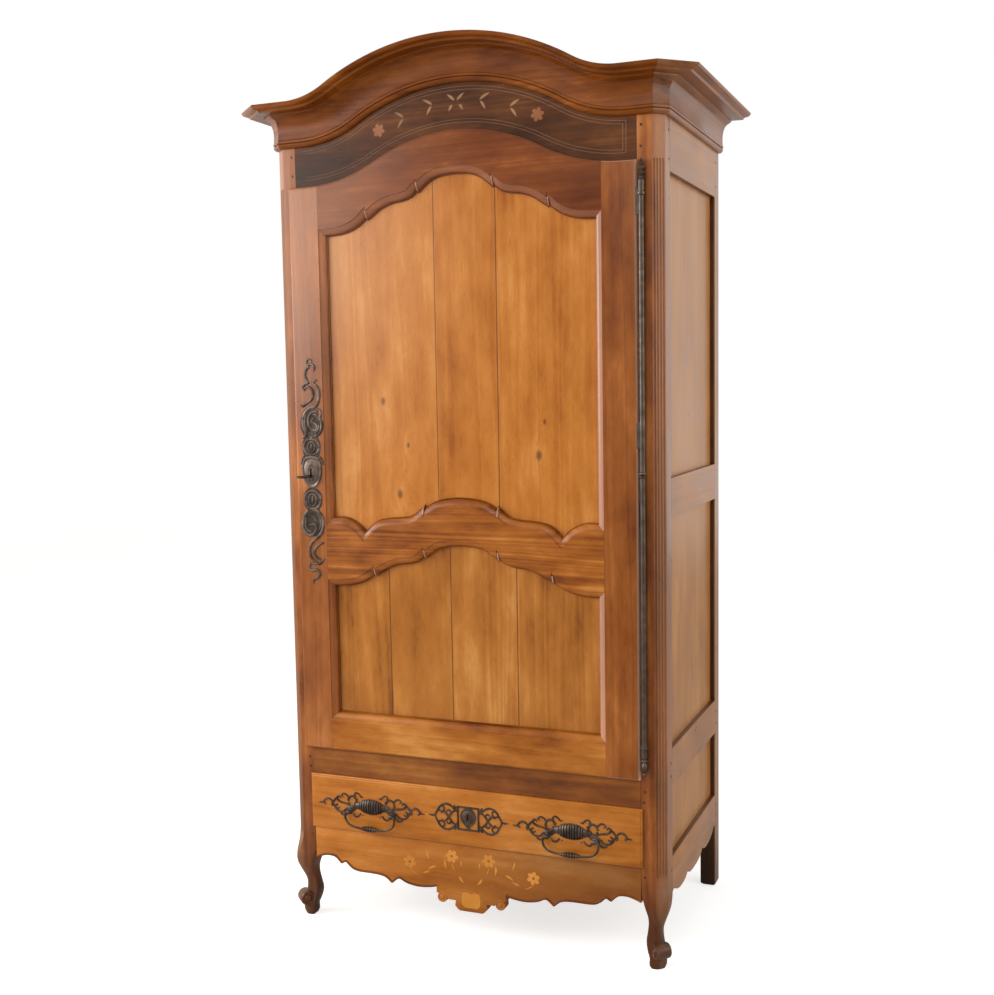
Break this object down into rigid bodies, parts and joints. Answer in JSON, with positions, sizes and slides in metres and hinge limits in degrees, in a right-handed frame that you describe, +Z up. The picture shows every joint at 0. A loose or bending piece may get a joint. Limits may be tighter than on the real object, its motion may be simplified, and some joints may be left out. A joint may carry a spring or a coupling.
{
  "type": "bonnetiere cabinet",
  "caption": "Tall narrow linen press with one arched panelled door over a drawer, bonnet cornice, fluted canted posts on cabriole legs, pole hinge and pierced iron mounts.",
  "frame": {"origin": "on the floor under the middle of the whole cabinet's box, cornice included", "axes": "+X to the viewer's right, +Y to the back, +Z up; the front faces -Y"},
  "size_m": [1.144, 0.68, 2.161],
  "materials": {
    "walnut": "waxed old red-brown fruitwood",
    "honey_wood": "waxed honey-coloured fruitwood",
    "washed_wood": "lighter, drier fruitwood of the sides",
    "dark_wood": "ebonised band with inlay",
    "inside_wood": "bare inside softwood",
    "iron": "aged dark iron",
    "steel": "worn steel"
  },
  "bodies": {
    "carcass": {"front_post_left": "walnut", "front_post_right": "walnut", "front_mid_rail": "walnut", "cornice_front": "walnut", "cornice_side_left": "walnut", "cornice_side_right": "walnut", "rear_post_left": "washed_wood", "side_top_rail_left": "washed_wood", "side_mid_rail_left": "washed_wood", "side_low_rail_left": "washed_wood", "side_apron_left": "washed_wood", "side_panel_upper_left": "washed_wood", "side_panel_middle_left": "washed_wood", "side_panel_lower_left": "washed_wood", "rear_post_right": "washed_wood", "side_top_rail_right": "washed_wood", "side_mid_rail_right": "washed_wood", "side_low_rail_right": "washed_wood", "side_apron_right": "washed_wood", "side_panel_upper_right": "washed_wood", "side_panel_middle_right": "washed_wood", "side_panel_lower_right": "washed_wood", "shelf_cleat_lower_left": "inside_wood", "shelf_cleat_upper_left": "inside_wood", "drawer_runner_left": "inside_wood", "shelf_cleat_lower_right": "inside_wood", "shelf_cleat_upper_right": "inside_wood", "drawer_runner_right": "inside_wood", "back_bottom_rail": "inside_wood", "back_top_rail": "inside_wood", "back_boards": "inside_wood", "cupboard_floor": "inside_wood", "cupboard_ceiling": "inside_wood", "shelf_lower": "inside_wood", "shelf_upper": "inside_wood", "frieze_rail": "dark_wood", "front_apron": "honey_wood", "hinge_frame_half": "iron"},
    "door": {"door_stile_lock": "walnut", "door_stile_hinge": "walnut", "door_top_rail": "walnut", "door_mid_rail": "walnut", "door_bottom_rail": "walnut", "door_panel_upper": "honey_wood", "door_panel_lower": "honey_wood", "door_escutcheon": "iron", "hinge_door_half": "iron", "lock_case": "iron"},
    "lock_bolt_body": {"lock_bolt": "steel"},
    "key_body": {"key": "iron"},
    "drawer": {"drawer_front": "honey_wood", "drawer_back": "inside_wood", "drawer_bottom": "inside_wood", "drawer_side_left": "inside_wood", "drawer_side_right": "inside_wood", "drawer_escutcheon": "iron", "pull_plate_left": "iron", "pull_plate_right": "iron"},
    "bail_left_body": {"bail_left": "iron"},
    "bail_right_body": {"bail_right": "iron"}
  },
  "joints": [
    {"name": "door_hinge", "type": "hinge", "parent": "carcass", "child": "door", "pos_m": [0.442, -0.2654, 1.159], "axis": [0, 0, 1], "range_deg": [0, 110]},
    {"name": "key_turn", "type": "hinge", "parent": "door", "child": "key_body", "pos_m": [-0.403, -0.268, 1.149], "axis": [0, -1, 0], "range_deg": [0, 180]},
    {"name": "bolt_slide", "type": "slide", "parent": "door", "child": "lock_bolt_body", "axis": [-1, 0, 0], "range_m": [0, 0.014]},
    {"name": "drawer_slide", "type": "slide", "parent": "carcass", "child": "drawer", "axis": [0, -1, 0], "range_m": [0, 0.4]},
    {"name": "bail_left_swing", "type": "hinge", "parent": "drawer", "child": "bail_left_body", "pos_m": [-0.264, -0.2753, 0.298], "axis": [-1, 0, 0], "range_deg": [0, 95]},
    {"name": "bail_right_swing", "type": "hinge", "parent": "drawer", "child": "bail_right_body", "pos_m": [0.264, -0.2753, 0.298], "axis": [-1, 0, 0], "range_deg": [0, 95]}
  ],
  "couplings": [
    {"joint": "bolt_slide", "follows": "key_turn", "m_per_rad": 0.00445}
  ]
}
